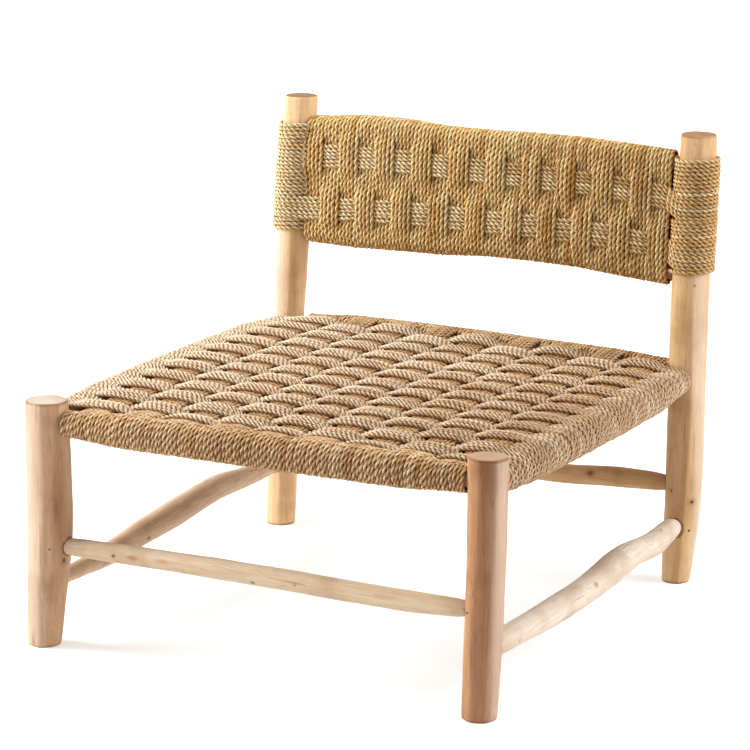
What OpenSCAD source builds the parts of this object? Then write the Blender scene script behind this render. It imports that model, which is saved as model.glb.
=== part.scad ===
// Low lounge chair of peeled branches with a woven rope seat and back.
// X runs to the right as seen from the front, Y to the rear, Z up.
// The origin is on the floor, under the middle of the chair's bounding box.

/* [Frame] */
// Distance across the chair between the leg axes at seat height
leg_span_x = 578; // [500:1:680]
// Distance from the front leg axes to the rear post axes at the floor
leg_span_y = 605; // [520:1:700]
// Height of the front left leg
front_leg_h = 305; // [290:1:360]
// How much taller the front right leg is
front_right_extra = 3; // [0:1:8]
// Mean height of the rear posts
rear_post_h = 585; // [560:1:700]
// How much taller the left rear post is than the right one
rear_post_step = 8; // [0:1:14]
// How far the rear posts lean back at their top
post_rake = 37; // [0:1:60]
// How far the front legs lean back at their top
front_rake = 3; // [0:1:10]

/* [Legs and posts] */
// Largest diameter of the front left leg
front_left_leg_d = 55; // [46:1:60]
// Largest diameter of the front right leg
front_right_leg_d = 47; // [44:1:60]
// Largest diameter of the rear left post
rear_left_post_d = 47; // [44:1:60]
// Largest diameter of the rear right post
rear_right_post_d = 49.5; // [44:0.5:60]
// How far the front left leg leans in towards the right over its height
front_left_lean = 6; // [0:1:10]
// How far the front right leg leans out towards the right over its height
front_right_lean = 5; // [0:1:10]
// How far the rear left post leans in towards the right over its height
rear_left_lean = 11; // [0:1:14]
// How far the rear right post leans in towards the left over its height
rear_right_lean = 2; // [0:1:10]
// Width of the worn edge around each sawn top
top_edge = 2.5; // [0.5:0.5:4]
// Width of the worn edge around each foot
foot_edge = 1.5; // [0.5:0.5:3]

/* [Seat frame] */
// Distance of the front and rear rail axes below the front left leg's top
seat_rail_drop = 27; // [22:1:36]
// How much lower the right side rail runs than the front and rear rails
side_rail_step = 10; // [6:1:16]
// How much higher the left side rail runs than the right one
left_rail_rise = 11; // [0:1:12]
// Diameter of the four seat rails under the rope
seat_rail_d = 32; // [26:1:36]
// Diameter of the seat rails' tenons
seat_tenon_d = 19; // [14:1:22]

/* [Stretchers] */
// Thickest diameter of the front stretcher
front_stretcher_d = 25.5; // [22:0.5:32]
// Thickest diameter of the rear stretcher
rear_stretcher_d = 27.5; // [22:0.5:34]
// Thickest diameter of the left stretcher
left_stretcher_d = 35; // [26:1:40]
// Thickest diameter of the right stretcher
right_stretcher_d = 39; // [28:1:42]
// Diameter of the stretchers' tenons
stretcher_tenon_d = 17; // [14:1:20]
// Height of the front stretcher's axis at the left leg
front_stretcher_z = 127; // [118:1:180]
// How much higher the front stretcher is at the right leg
front_stretcher_rise = 1; // [0:0.5:4]
// Height of the rear stretcher's axis
rear_stretcher_z = 125; // [118:1:180]
// Height of the left stretcher at the front leg
left_stretcher_front_z = 75; // [50:1:85]
// Height of the left stretcher at the rear post
left_stretcher_rear_z = 88; // [50:1:92]
// Height of the right stretcher at the front leg
right_stretcher_front_z = 77; // [50:1:85]
// Height of the right stretcher at the rear post
right_stretcher_rear_z = 72; // [50:1:85]
// Diameter of the nails through the stretchers' tenons
nail_d = 2.5; // [1.5:0.1:3]
// Length of the nails
nail_l = 26; // [20:1:30]

/* [Back frame] */
// Distance of the back's top rail axis below the mean top of the posts
back_top_drop = 37; // [30:1:60]
// Distance between the axes of the back's two rails
back_rail_gap = 139; // [130:1:150]
// How much lower the back hangs at the right post than at the left one
back_fall = 8; // [0:1:12]
// Diameter of the back's two rails under the rope
back_rail_d = 24; // [20:1:28]
// Diameter of the back rails' tenons
back_tenon_d = 15; // [12:1:18]

/* [Rope] */
// Diameter of the two-ply rope
rope_d = 5; // [4:0.5:5.5]
// Number of rope groups that run from front to rear on the seat
seat_warp_groups = 9; // [7:1:11]
// Space left between neighbouring groups that run from front to rear
seat_warp_gap = 24; // [20:1:28]
// How far these groups sit to the right of the middle between the front legs
seat_warp_shift = 5; // [0:1:9]
// Number of rope groups that run across the seat
seat_weft_groups = 21; // [17:1:23]
// Space left between neighbouring groups that run across the seat
seat_weft_gap = 7; // [6:0.5:9]
// How far the woven seat sags below the mean height of its rails' tops
seat_sag = 5; // [0:1:8]
// Number of upright rope groups on the back
back_groups = 20; // [16:1:22]
// Space left between neighbouring upright groups
back_group_gap = 0.6; // [0.4:0.1:2]
// Height of each of the two bands woven across the back
back_band_h = 28; // [20:1:30]
// Distance between the middles of the two bands
back_band_gap = 67; // [62:1:72]
// How far the middle between the bands lies above the middle between the rails
back_band_rise = 6; // [0:1:8]
// Space left between neighbouring turns of rope around the rear posts
post_wrap_gap = 0.6; // [0.5:0.1:1.5]

/* [Hidden] */

// Clearance between rope and what it lies on
rope_fit = 0.3;
// Radial clearance of a tenon in its mortise, and of a nail in its hole
tenon_fit = 0.1;
// Clearance between a rail's or a stretcher's shoulder and the leg that it meets
shoulder_fit = 0.5;
stretcher_fit = 1;
// Wood left between a tenon's end and the line of the tenon that crosses it
tenon_wall = 1.5;
// Depth of a mortise past the end of its tenon, and of a nail's hole past its point
mortise_extra = 0.5;
// How far a hole is cut past a surface that it opens in
cut_past = 10;
// Distance of a nail's axis from the end of the tenon that it pins
nail_inset = 3.5;
// How far a nail's head lies below the leg's surface
nail_sink = 0.5;
// Sides of a leg, of a stretcher, of a turned rod and of a wound rope
leg_sides = 20;
stretcher_sides = 16;
rod_sides = 64;
rope_sides = 6;
// Rings along a leg, along a stretcher and in each turn of a wound rope
leg_rings = 13;
stretcher_rings = 17;
turn_rings = 16;
// Steps of the half circle where a rope group goes round a rail, and how far
// the group then runs straight, as a share of the rail's diameter
bend_steps = 8;
runoff_share = 0.25;

wood = [0.86, 0.72, 0.55];
wood_dark = [0.80, 0.64, 0.46];
rope_light = [0.80, 0.70, 0.53];
rope_dark = [0.66, 0.54, 0.35];
steel = [0.35, 0.33, 0.31];

seat_z = front_leg_h - seat_rail_drop;
side_z = seat_z - side_rail_step;
back_top_z = rear_post_h - back_top_drop;
back_bottom_z = back_top_z - back_rail_gap;
front_y = -leg_span_y / 2;
rear_y = leg_span_y / 2;
half_span = leg_span_x / 2;

// Each form lists stations along a stick: fraction of its length, offset along
// its first and second side axis, and diameter. The last three are shares of
// the stick's largest diameter.
front_left_form = [
    [0, 0.016, 0, 0.75], [0.21, 0.069, 0, 0.875], [0.44, 0.129, 0, 0.995],
    [0.60, 0.118, 0, 1], [0.88, 0.035, 0, 0.975], [1, 0.016, 0, 0.955]
];
front_right_form = [
    [0, 0.04, 0, 0.89], [0.28, 0.07, 0, 0.94], [0.60, 0.08, 0, 0.96],
    [0.9, 0.05, 0, 0.985], [1, 0.04, 0, 1]
];
rear_left_form = [
    [0, -0.011, 0, 0.86], [0.25, -0.043, 0, 0.9], [0.50, -0.066, 0, 0.91],
    [0.70, -0.079, 0, 1], [0.90, -0.032, 0, 0.985], [1, -0.002, 0, 0.955]
];
rear_right_form = [
    [0, -0.044, 0, 0.75], [0.07, 0, 0, 0.87], [0.23, 0.057, 0, 0.975],
    [0.50, -0.02, 0, 0.97], [0.66, -0.036, 0, 1], [0.94, -0.012, 0, 0.975],
    [1, -0.024, 0, 0.93]
];
front_stretcher_form = [
    [0, 0, 0, 0.80], [0.08, 0.02, 0, 0.90], [0.25, 0.08, 0, 0.95], [0.45, 0.12, -0.015, 0.98],
    [0.65, 0.08, -0.08, 1], [0.85, 0.02, -0.11, 0.97], [0.95, 0, -0.025, 0.84], [1, 0, 0, 0.80]
];
rear_stretcher_form = [
    [0, 0, 0, 0.76], [0.08, 0, 0, 0.86], [0.30, -0.073, -0.055, 0.93], [0.55, -0.11, -0.11, 0.94],
    [0.72, -0.073, -0.13, 0.95], [0.86, -0.036, 0.087, 1], [0.95, 0, 0.02, 0.87], [1, 0, 0, 0.80]
];
left_stretcher_form = [
    [0, 0, 0, 0.60], [0.10, -0.02, 0, 0.60], [0.23, -0.05, 0.03, 0.82], [0.36, 0.14, 0.085, 0.92],
    [0.48, 0.22, 0.115, 1], [0.62, 0.31, 0.055, 0.95], [0.70, 0.32, 0.03, 0.95],
    [0.81, 0.115, 0, 0.80], [0.93, 0.015, 0, 0.66], [1, 0, 0, 0.60]
];
right_stretcher_form = [
    [0, 0, 0, 0.70], [0.10, 0.013, 0, 0.74], [0.36, -0.125, -0.077, 0.87],
    [0.52, -0.108, -0.103, 0.87], [0.65, 0.03, -0.026, 1], [0.73, 0.085, 0.05, 0.83],
    [0.82, -0.092, 0.026, 0.83], [0.905, -0.064, 0, 0.92], [0.96, -0.008, 0, 0.66],
    [1, 0, 0, 0.60]
];

// Smooth curve through the stations of a form
function station(s, t) = max([for (i = [0:len(s) - 2]) if (i == 0 || t >= s[i][0]) i]);
function rise(s, i, j, c) = (s[j][c] - s[i][c]) / (s[j][0] - s[i][0]);
function slope(s, i, c) = rise(s, max(i - 1, 0), min(i + 1, len(s) - 1), c);
function hermite(a, b, ma, mb, u) =
    (2 * u * u * u - 3 * u * u + 1) * a + (u * u * u - 2 * u * u + u) * ma
    + (3 * u * u - 2 * u * u * u) * b + (u * u * u - u * u) * mb;
function along(s, t, c) =
    let (i = station(s, t), d = s[i + 1][0] - s[i][0], u = (t - s[i][0]) / d)
    hermite(s[i][c], s[i + 1][c], slope(s, i, c) * d, slope(s, i + 1, c) * d, u);

// A leg: side, y at the floor, lean in x over its height, slope in y, height,
// largest diameter and form. Its axis crosses the height side_z at half_span.
front_slope = front_rake / front_leg_h;
post_slope = post_rake / rear_post_h;
front_left = [-1, front_y, front_left_lean, front_slope, front_leg_h,
    front_left_leg_d, front_left_form];
front_right = [1, front_y, front_right_lean, front_slope, front_leg_h + front_right_extra,
    front_right_leg_d, front_right_form];
rear_left = [-1, rear_y, rear_left_lean, post_slope, rear_post_h + rear_post_step / 2,
    rear_left_post_d, rear_left_form];
rear_right = [1, rear_y, -rear_right_lean, post_slope, rear_post_h - rear_post_step / 2,
    rear_right_post_d, rear_right_form];
function leg_h(k) = k[4];
function leg_axis(k, z) =
    [k[0] * half_span + k[2] * (z - side_z) / leg_h(k), k[1] + k[3] * z, z];
function leg_centre(k, z) =
    leg_axis(k, z) + k[5] * [along(k[6], z / leg_h(k), 1), along(k[6], z / leg_h(k), 2), 0];
function side_rail_z(k) = side_z + (k[0] < 0 ? left_rail_rise : 0);
function leg_r(k, z) = k[5] / 2 * along(k[6], z / leg_h(k), 3);

// Rings of a stick, its closed surface, and a plain round rod between two points
function ring(c, a, b, r, n) = [for (j = [0:n - 1]) c + r * (cos(360 * j / n) * a + sin(360 * j / n) * b)];
function flat_list(v) = [for (row = v) for (p = row) p];

module skin(rings) {
    n = len(rings[0]);
    last = len(rings) - 1;
    polyhedron(flat_list(rings), concat(
        [[for (j = [0:n - 1]) j]],
        [for (i = [0:last - 1]) for (j = [0:n - 1]) [i * n + j, (i + 1) * n + j, (i + 1) * n + (j + 1) % n]],
        [for (i = [0:last - 1]) for (j = [0:n - 1]) [i * n + j, (i + 1) * n + (j + 1) % n, i * n + (j + 1) % n]],
        [[for (j = [n - 1:-1:0]) last * n + j]]
    ));
}

module rod(p, q, d) {
    v = q - p;
    translate(p)
        rotate([0, acos(v[2] / norm(v)), atan2(v[1], v[0])])
            cylinder(h = norm(v), d = d, $fn = rod_sides);
}

// Rings of a leg, with a worn edge at its foot and at its sawn top
function leg_ring(k, z, inset) =
    ring(leg_centre(k, z), [1, 0, 0], [0, 1, 0], leg_r(k, z) - inset, leg_sides);
function leg_skin(k) = concat(
    [leg_ring(k, 0, foot_edge), leg_ring(k, foot_edge, 0)],
    [for (i = [1:leg_rings - 1]) leg_ring(k, leg_h(k) * i / leg_rings, 0)],
    [leg_ring(k, leg_h(k) - top_edge, 0), leg_ring(k, leg_h(k), top_edge)]
);

// The rope around a rear post: one tube whose ends run straight for one diameter
wrap_neck = back_tenon_d / 2 + rope_d / 2 + rope_fit * 2;
function back_drop(k) = -k[0] * back_fall / 2;
function wrap_low(k) = back_bottom_z + back_drop(k) + wrap_neck;
function wrap_high(k) = back_top_z + back_drop(k) - wrap_neck;
wrap_turns = floor((back_rail_gap - 2 * wrap_neck) / (rope_d + post_wrap_gap));
wrap_steps = wrap_turns * turn_rings;
function wrap_r(k, z) = (leg_r(k, z) + rope_fit + rope_d / 2) / cos(180 / turn_rings);
function wrap_point(k, i) =
    let (
        z = wrap_low(k) + (wrap_high(k) - wrap_low(k)) * i / wrap_steps,
        a = 90 + k[0] * 360 * i / turn_rings
    )
    leg_centre(k, z) + wrap_r(k, z) * [cos(a), sin(a), 0];
function unit(v) = v / norm(v);
function wrap_line(k) =
    let (p = [for (i = [0:wrap_steps]) wrap_point(k, i)], n = len(p) - 1)
    concat(
        [p[0] + rope_d * unit(p[0] - p[1])],
        p,
        [p[n] + rope_d * unit(p[n] - p[n - 1])]
    );
function wrap_skin(k) =
    let (p = wrap_line(k), n = len(p) - 1)
    [for (i = [0:n])
        let (
            t = unit(p[min(i + 1, n)] - p[max(i - 1, 0)]),
            c = leg_centre(k, p[i][2]),
            out = p[i] - c,
            a = unit(out - t * (out * t))
        )
        ring(p[i], a, cross(t, a), rope_d / 2, rope_sides)
    ];
function least_gap(p) = min([
    for (i = [0:2:len(p) - 1]) for (j = [i + turn_rings / 2:1:len(p) - 1]) norm(p[i] - p[j])
]) - rope_d;
// X of the wrap's innermost side, at a distance before or behind the post's axis
function wrap_inner_x(k, off) = -k[0] * max([
    for (z = [wrap_low(k), (wrap_low(k) + wrap_high(k)) / 2, wrap_high(k)])
        -k[0] * leg_centre(k, z)[0] + sqrt(pow(wrap_r(k, z) + rope_d / 2, 2) - off * off)
]);

// The chair is moved so that its bounding box is centred over the origin
outer_points = concat(
    flat_list(leg_skin(front_left)), flat_list(leg_skin(front_right)),
    flat_list(leg_skin(rear_left)), flat_list(leg_skin(rear_right)),
    flat_list(wrap_skin(rear_left)), flat_list(wrap_skin(rear_right))
);
function middle(c) = (min([for (p = outer_points) p[c]]) + max([for (p = outer_points) p[c]])) / 2;
chair_shift = [-middle(0), -middle(1), 0];
module placed() translate(chair_shift) children();

// Seat rails, parallel to X at seat_z and parallel to Y at the side rails' own height
tenon_core = seat_tenon_d / 2 + tenon_wall;
front_rail_y = leg_axis(front_left, seat_z)[1];
rear_rail_y = leg_axis(rear_left, seat_z)[1];
function shoulder_x(k, z) = leg_centre(k, z)[0] - k[0] * (leg_r(k, z) + shoulder_fit);
function shoulder_y(k, z, side) =
    leg_centre(k, z)[1] + side * (leg_r(k, z) + shoulder_fit + seat_rail_d / 2 * k[3]);

module x_rail(a, b, y) {
    rod([shoulder_x(a, seat_z), y, seat_z], [shoulder_x(b, seat_z), y, seat_z], seat_rail_d);
    rod([-half_span + tenon_core, y, seat_z], [half_span - tenon_core, y, seat_z], seat_tenon_d);
}

module y_rail(a, b) {
    x = a[0] * half_span;
    z = side_rail_z(a);
    rod([x, shoulder_y(a, z, 1), z], [x, shoulder_y(b, z, -1), z], seat_rail_d);
    rod([x, leg_axis(a, z)[1] + tenon_core, z],
        [x, leg_axis(b, z)[1] - tenon_core, z], seat_tenon_d);
}

module seat_mortises(k) {
    x = k[0] * half_span;
    y = leg_axis(k, seat_z)[1];
    z = side_rail_z(k);
    side_y = leg_axis(k, z)[1];
    inner = tenon_core - mortise_extra;
    forward = k[1] < 0 ? 1 : -1;
    hole = seat_tenon_d + 2 * tenon_fit;
    reach = leg_r(k, z) + cut_past;
    rod([x - k[0] * inner, y, seat_z], [x - k[0] * reach, y, seat_z], hole);
    rod([x, side_y + forward * inner, z], [x, side_y + forward * reach, z], hole);
}

// Stretchers: two legs with the height at each, largest diameter, form and
// the two side axes that the form's offsets follow
front_bar = [front_left, front_stretcher_z,
    front_right, front_stretcher_z + front_stretcher_rise,
    front_stretcher_d, front_stretcher_form, [0, 1, 0], [0, 0, 1]];
rear_bar = [rear_left, rear_stretcher_z, rear_right, rear_stretcher_z,
    rear_stretcher_d, rear_stretcher_form, [0, 1, 0], [0, 0, 1]];
left_bar = [front_left, left_stretcher_front_z, rear_left, left_stretcher_rear_z,
    left_stretcher_d, left_stretcher_form, [0, 0, 1], [1, 0, 0]];
right_bar = [front_right, right_stretcher_front_z, rear_right, right_stretcher_rear_z,
    right_stretcher_d, right_stretcher_form, [0, 0, 1], [1, 0, 0]];
stretcher_core = stretcher_tenon_d / 2 + tenon_wall;
function bar_start(b) = leg_centre(b[0], b[1]);
function bar_end(b) = leg_centre(b[2], b[3]);
function bar_way(b) = unit(bar_end(b) - bar_start(b));
function bar_length(b) = norm(bar_end(b) - bar_start(b));
function bar_setback(k, z) = leg_r(k, z) + stretcher_fit;
function bar_ring(b, d) =
    let (t = d / bar_length(b))
    ring(bar_start(b) + d * bar_way(b) + b[4] * (along(b[5], t, 1) * b[6] + along(b[5], t, 2) * b[7]),
        b[6], b[7], b[4] / 2 * along(b[5], t, 3), stretcher_sides);
function bar_skin(b) =
    let (d0 = bar_setback(b[0], b[1]), d1 = bar_length(b) - bar_setback(b[2], b[3]))
    [for (i = [0:stretcher_rings - 1]) bar_ring(b, d0 + (d1 - d0) * i / (stretcher_rings - 1))];

module bar(b) {
    skin(bar_skin(b));
    for (end = [0, 1]) {
        from = end == 0 ? bar_start(b) : bar_end(b);
        way = end == 0 ? bar_way(b) : -bar_way(b);
        setback = end == 0 ? bar_setback(b[0], b[1]) : bar_setback(b[2], b[3]);
        rod(from + stretcher_core * way, from + (setback + stretcher_tenon_d / 2) * way,
            stretcher_tenon_d);
    }
}

module bar_mortise(b, end) {
    from = end == 0 ? bar_start(b) : bar_end(b);
    way = end == 0 ? bar_way(b) : -bar_way(b);
    reach = (end == 0 ? leg_r(b[0], b[1]) : leg_r(b[2], b[3])) + cut_past;
    rod(from + (stretcher_core - mortise_extra) * way, from + reach * way,
        stretcher_tenon_d + 2 * tenon_fit);
}

// One nail pins each tenon of a stretcher, driven in from the outer or front face
function nail_side(b) = b[6][1] == 1 ? [0, -1, 0] : [b[0][0], 0, 0];
function nail_offset() = stretcher_core + nail_inset;
function nail_depth(r) = sqrt(r * r - nail_offset() * nail_offset());
module nail(b, end, d, past) {
    k = end == 0 ? b[0] : b[2];
    z = end == 0 ? b[1] : b[3];
    from = end == 0 ? bar_start(b) : bar_end(b);
    way = end == 0 ? bar_way(b) : -bar_way(b);
    side = nail_side(b);
    p = from + nail_offset() * way;
    start = nail_depth(leg_r(k, z)) - nail_sink;
    rod(p + (start + past) * side, p + (start - nail_l - min(past, mortise_extra)) * side, d);
}
module nail_hole(b, end) nail(b, end, nail_d + 2 * tenon_fit, cut_past);

// The back's own frame: X along the rails, Y through the back, Z up the back
back_pitch = atan(post_slope);
back_roll = atan(back_fall / leg_span_x);
back_middle_z = (back_top_z + back_bottom_z) / 2;
back_origin = [0, leg_axis(rear_left, back_middle_z)[1], back_middle_z];
back_up = back_rail_gap / cos(back_pitch);
module in_back_frame()
    translate(back_origin)
        rotate([-back_pitch, 0, 0])
            rotate([0, back_roll, 0])
                translate([0, 0, -back_up / 2])
                    children();
// Room that the roll of the back needs at each end, and the ends of its rope
back_slant = back_up / 2 * sin(back_roll);
back_x0 = wrap_inner_x(rear_left, 0) + back_slant + rope_fit;
back_x1 = wrap_inner_x(rear_right, 0) - back_slant - rope_fit;
function back_post_x(k, up) = leg_centre(k, back_bottom_z + up)[0];

module back_rail(up) {
    rod([back_x0, 0, up], [back_x1, 0, up], back_rail_d);
    rod([back_post_x(rear_left, up) + tenon_core, 0, up],
        [back_post_x(rear_right, up) - tenon_core, 0, up], back_tenon_d);
}

module back_mortises(k)
    for (up = [0, back_up]) {
        x = back_post_x(k, up);
        rod([x - k[0] * (tenon_core - mortise_extra), 0, up],
            [x - k[0] * (leg_r(k, back_bottom_z) + cut_past), 0, up],
            back_tenon_d + 2 * tenon_fit);
    }

module leg(k) skin(leg_skin(k));

module front_left_leg() color(wood) placed() difference() {
    leg(front_left);
    seat_mortises(front_left);
    bar_mortise(front_bar, 0);
    bar_mortise(left_bar, 0);
    nail_hole(front_bar, 0);
    nail_hole(left_bar, 0);
}

module front_right_leg() color(wood) placed() difference() {
    leg(front_right);
    seat_mortises(front_right);
    bar_mortise(front_bar, 1);
    bar_mortise(right_bar, 0);
    nail_hole(front_bar, 1);
    nail_hole(right_bar, 0);
}

module rear_left_post() color(wood) placed() difference() {
    leg(rear_left);
    seat_mortises(rear_left);
    bar_mortise(rear_bar, 0);
    bar_mortise(left_bar, 1);
    nail_hole(rear_bar, 0);
    nail_hole(left_bar, 1);
    in_back_frame() back_mortises(rear_left);
}

module rear_right_post() color(wood) placed() difference() {
    leg(rear_right);
    seat_mortises(rear_right);
    bar_mortise(rear_bar, 1);
    bar_mortise(right_bar, 1);
    nail_hole(rear_bar, 1);
    nail_hole(right_bar, 1);
    in_back_frame() back_mortises(rear_right);
}

module front_seat_rail() color(wood_dark) placed() x_rail(front_left, front_right, front_rail_y);
module rear_seat_rail() color(wood_dark) placed() x_rail(rear_left, rear_right, rear_rail_y);
module left_seat_rail() color(wood_dark) placed() y_rail(front_left, rear_left);
module right_seat_rail() color(wood_dark) placed() y_rail(front_right, rear_right);

module pinned_bar(b) difference() {
    bar(b);
    nail_hole(b, 0);
    nail_hole(b, 1);
}
module front_stretcher() color(wood) placed() pinned_bar(front_bar);
module rear_stretcher() color(wood) placed() pinned_bar(rear_bar);
module left_stretcher() color(wood) placed() pinned_bar(left_bar);
module right_stretcher() color(wood) placed() pinned_bar(right_bar);

module stretcher_nails() color(steel) placed()
    for (b = [front_bar, rear_bar, left_bar, right_bar])
        for (end = [0, 1])
            nail(b, end, nail_d, 0);

module back_top_rail() color(wood_dark) placed() in_back_frame() back_rail(back_up);
module back_bottom_rail() color(wood_dark) placed() in_back_frame() back_rail(0);

// Woven groups: a flat belt of rope goes round two rails and rises and dips over
// the groups that cross it, and its underside runs level with the lower rail.
// Its section is drawn as [run, height].
weave_rise = (rope_d + rope_fit) / 2;
seat_belt_r = seat_rail_d / 2 + rope_fit;
rails_z = (seat_z + side_z + left_rail_rise / 2) / 2;
weave_z = rails_z + seat_belt_r + rope_d / 2 - seat_sag;

// Half circle round a rail, from one angle to the other
function bend(c, r, a0, a1) = [for (i = [0:bend_steps])
    let (a = a0 + (a1 - a0) * i / bend_steps) c + r * [cos(a), sin(a)]];

// Top line of a belt: crossings are [start, end] runs, and over_first says
// whether the belt passes above the first of them
function woven_line(crossings, over_first, z, offset) = flat_list([
    for (i = [0:len(crossings) - 1])
        let (h = z + offset + ((i % 2 == 0) == over_first ? weave_rise : -weave_rise))
        [[crossings[i][0], h], [crossings[i][1], h]]
]);

module belt_section(c0, z0, c1, z1, crossings, over_first) {
    inner_r = seat_belt_r / cos(90 / bend_steps);
    outer_r = seat_belt_r + rope_d;
    runoff = seat_rail_d * runoff_share;
    low = [crossings[0][0] - rope_d, min(z0, z1)];
    difference() {
        polygon(concat(
            bend([c0, z0], outer_r, 270, 90),
            [[c0 + runoff, z0 + outer_r]],
            woven_line(crossings, over_first, weave_z, rope_d / 2),
            [[c1 - runoff, z1 + outer_r]],
            bend([c1, z1], outer_r, 90, -90),
            [low - [0, outer_r]]
        ));
        polygon(concat(
            bend([c0, z0], inner_r, 270, 90),
            [[c0 + runoff, z0 + seat_belt_r]],
            woven_line(crossings, over_first, weave_z, -rope_d / 2),
            [[c1 - runoff, z1 + seat_belt_r]],
            bend([c1, z1], inner_r, 90, -90),
            [low - [0, inner_r]]
        ));
    }
}

// Groups across the width and along the depth share out the rails' free lengths
warp_x0 = max(shoulder_x(front_left, seat_z), shoulder_x(rear_left, seat_z));
warp_x1 = min(shoulder_x(front_right, seat_z), shoulder_x(rear_right, seat_z));
warp_step = (warp_x1 - warp_x0) / seat_warp_groups;
weft_y0 = shoulder_y(front_left, side_rail_z(front_left), 1);
weft_y1 = shoulder_y(rear_right, side_rail_z(rear_right), -1);
weft_step = (weft_y1 - weft_y0) / seat_weft_groups;
function runs(start, step, gap, count) = [for (i = [0:count - 1])
    [start + i * step + gap / 2, start + (i + 1) * step - gap / 2]];
warp_runs = runs(warp_x0 + seat_warp_shift, warp_step, seat_warp_gap, seat_warp_groups);
weft_runs = runs(weft_y0, weft_step, seat_weft_gap, seat_weft_groups);

// The front row of the weft passes over the outer groups, so they start below it
module seat_warp() color(rope_dark) placed()
    for (i = [0:seat_warp_groups - 1])
        translate([warp_runs[i][0], 0, 0])
            rotate([90, 0, 90])
                linear_extrude(warp_runs[i][1] - warp_runs[i][0])
                    belt_section(front_rail_y, seat_z, rear_rail_y, seat_z, weft_runs, i % 2 == 1);

module seat_weft() color(rope_light) placed()
    for (i = [0:seat_weft_groups - 1])
        translate([0, weft_runs[i][1], 0])
            rotate([90, 0, 0])
                linear_extrude(weft_runs[i][1] - weft_runs[i][0])
                    belt_section(-half_span, side_rail_z(front_left), half_span,
                    side_rail_z(front_right), warp_runs, i % 2 == 0);

// Turns of rope that cover a rail between the groups, as plain sleeves
module sleeve(l) difference() {
    cylinder(h = l, r = seat_belt_r + rope_d, $fn = rod_sides);
    translate([0, 0, -cut_past]) cylinder(h = l + 2 * cut_past, r = seat_belt_r, $fn = rod_sides);
}
function spaces(lo, hi, groups) = concat(
    [[lo + rope_fit, groups[0][0] - rope_fit]],
    [for (i = [0:len(groups) - 2]) [groups[i][1] + rope_fit, groups[i + 1][0] - rope_fit]],
    [[groups[len(groups) - 1][1] + rope_fit, hi - rope_fit]]
);
module x_turns(y) for (s = spaces(warp_x0, warp_x1, warp_runs))
    translate([s[0], y, seat_z]) rotate([0, 90, 0]) sleeve(s[1] - s[0]);
module y_turns(k) for (s = spaces(weft_y0, weft_y1, weft_runs))
    translate([k[0] * half_span, s[1], side_rail_z(k)]) rotate([90, 0, 0]) sleeve(s[1] - s[0]);
module front_rail_turns() color(rope_dark) placed() x_turns(front_rail_y);
module rear_rail_turns() color(rope_dark) placed() x_turns(rear_rail_y);
module left_rail_turns() color(rope_dark) placed() y_turns(front_left);
module right_rail_turns() color(rope_dark) placed() y_turns(front_right);

// Back: upright groups go round both rails, in front of one band and behind the other
back_belt_r = back_rail_d / 2 + rope_fit;
back_step = (back_x1 - back_x0) / back_groups;
function band_up(side) = back_up / 2 + back_band_rise + side * back_band_gap / 2;
band_depth = back_belt_r + rope_d / 2;

// Front line of an upright group from the bottom rail to the top one, as [up, out]
function upright_line(over_lower, offset) =
    let (
        shift = rope_d + rope_fit,
        margin = back_band_h / 2 + rope_fit,
        runoff = back_rail_d * runoff_share,
        low = band_depth + offset + (over_lower ? shift : -shift),
        high = band_depth + offset - (over_lower ? shift : -shift)
    )
    [
        [runoff, band_depth + offset],
        [band_up(-1) - margin, low], [band_up(-1) + margin, low],
        [band_up(1) - margin, high], [band_up(1) + margin, high],
        [back_up - runoff, band_depth + offset]
    ];
function mirrored(v) = [for (i = [len(v) - 1:-1:0]) [v[i][0], -v[i][1]]];

module upright_section(over_lower) {
    inner_r = back_belt_r / cos(90 / bend_steps);
    outer_r = back_belt_r + rope_d;
    outer = upright_line(over_lower, rope_d / 2);
    inner = upright_line(over_lower, -rope_d / 2);
    difference() {
        polygon(concat(
            bend([0, 0], outer_r, 270, 90), outer,
            bend([back_up, 0], outer_r, 90, -90), mirrored(outer)
        ));
        polygon(concat(
            bend([0, 0], inner_r, 270, 90), inner,
            bend([back_up, 0], inner_r, 90, -90), mirrored(inner)
        ));
    }
}

module back_uprights() color(rope_light) placed() in_back_frame()
    for (i = [0:back_groups - 1])
        translate([back_x0 + i * back_step + back_group_gap / 2, 0, 0])
            rotate([0, -90, 0])
                mirror([0, 0, 1])
                    linear_extrude(back_step - back_group_gap)
                        upright_section(i % 2 == 1);

// Each band is a strip in front of the rails' middle and one behind it
module band(side) {
    inner = band_depth - rope_d / 2;
    x0 = wrap_inner_x(rear_left, inner) + back_slant + rope_fit;
    x1 = wrap_inner_x(rear_right, inner) - back_slant - rope_fit;
    for (face = [-1, 1])
        translate([x0, face * band_depth - rope_d / 2, band_up(side) - back_band_h / 2])
            cube([x1 - x0, rope_d, back_band_h]);
}
module back_upper_band() color(rope_dark) placed() in_back_frame() band(1);
module back_lower_band() color(rope_dark) placed() in_back_frame() band(-1);

module left_post_wrap() color(rope_dark) placed() skin(wrap_skin(rear_left));
module right_post_wrap() color(rope_dark) placed() skin(wrap_skin(rear_right));

echo("least gap between the turns of the left post wrap", least_gap(wrap_line(rear_left)));
echo("least gap between the turns of the right post wrap", least_gap(wrap_line(rear_right)));
echo("bounding box shift", chair_shift);
for (k = [front_left, front_right, rear_left, rear_right])
    echo("middle of a foot", leg_centre(k, 0) + chair_shift);

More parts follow.
